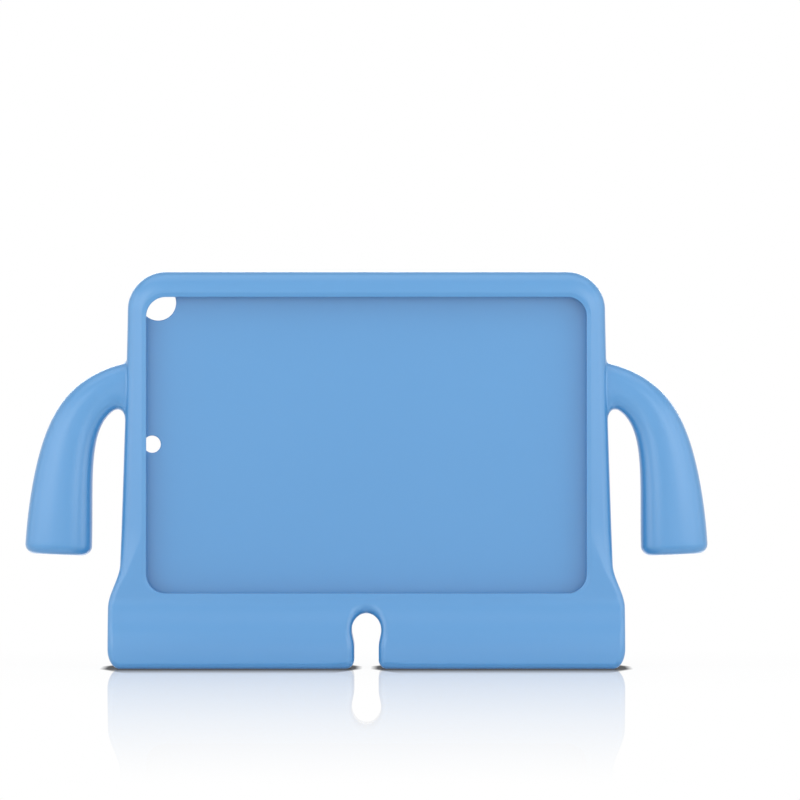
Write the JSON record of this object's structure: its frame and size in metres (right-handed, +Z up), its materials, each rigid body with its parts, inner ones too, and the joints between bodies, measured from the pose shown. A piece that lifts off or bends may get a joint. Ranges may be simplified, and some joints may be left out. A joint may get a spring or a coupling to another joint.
{
  "type": "silicone tablet case",
  "caption": "One-piece soft protective tablet case that stands on a wide notched foot, with a framed window, a rear camera hole and two hanging carrying arms.",
  "frame": {"origin": "on the surface that the case stands on, under the middle of its width and depth", "axes": "+Z up, +X to the right as seen from the front, +Y to the back; the screen window faces -Y"},
  "size_m": [0.3838, 0.048, 0.223],
  "materials": {
    "foam": "matte closed-cell foam with a smooth moulded skin, sky blue"
  },
  "bodies": {
    "root": {"tablet_case": "foam"}
  },
  "joints": []
}
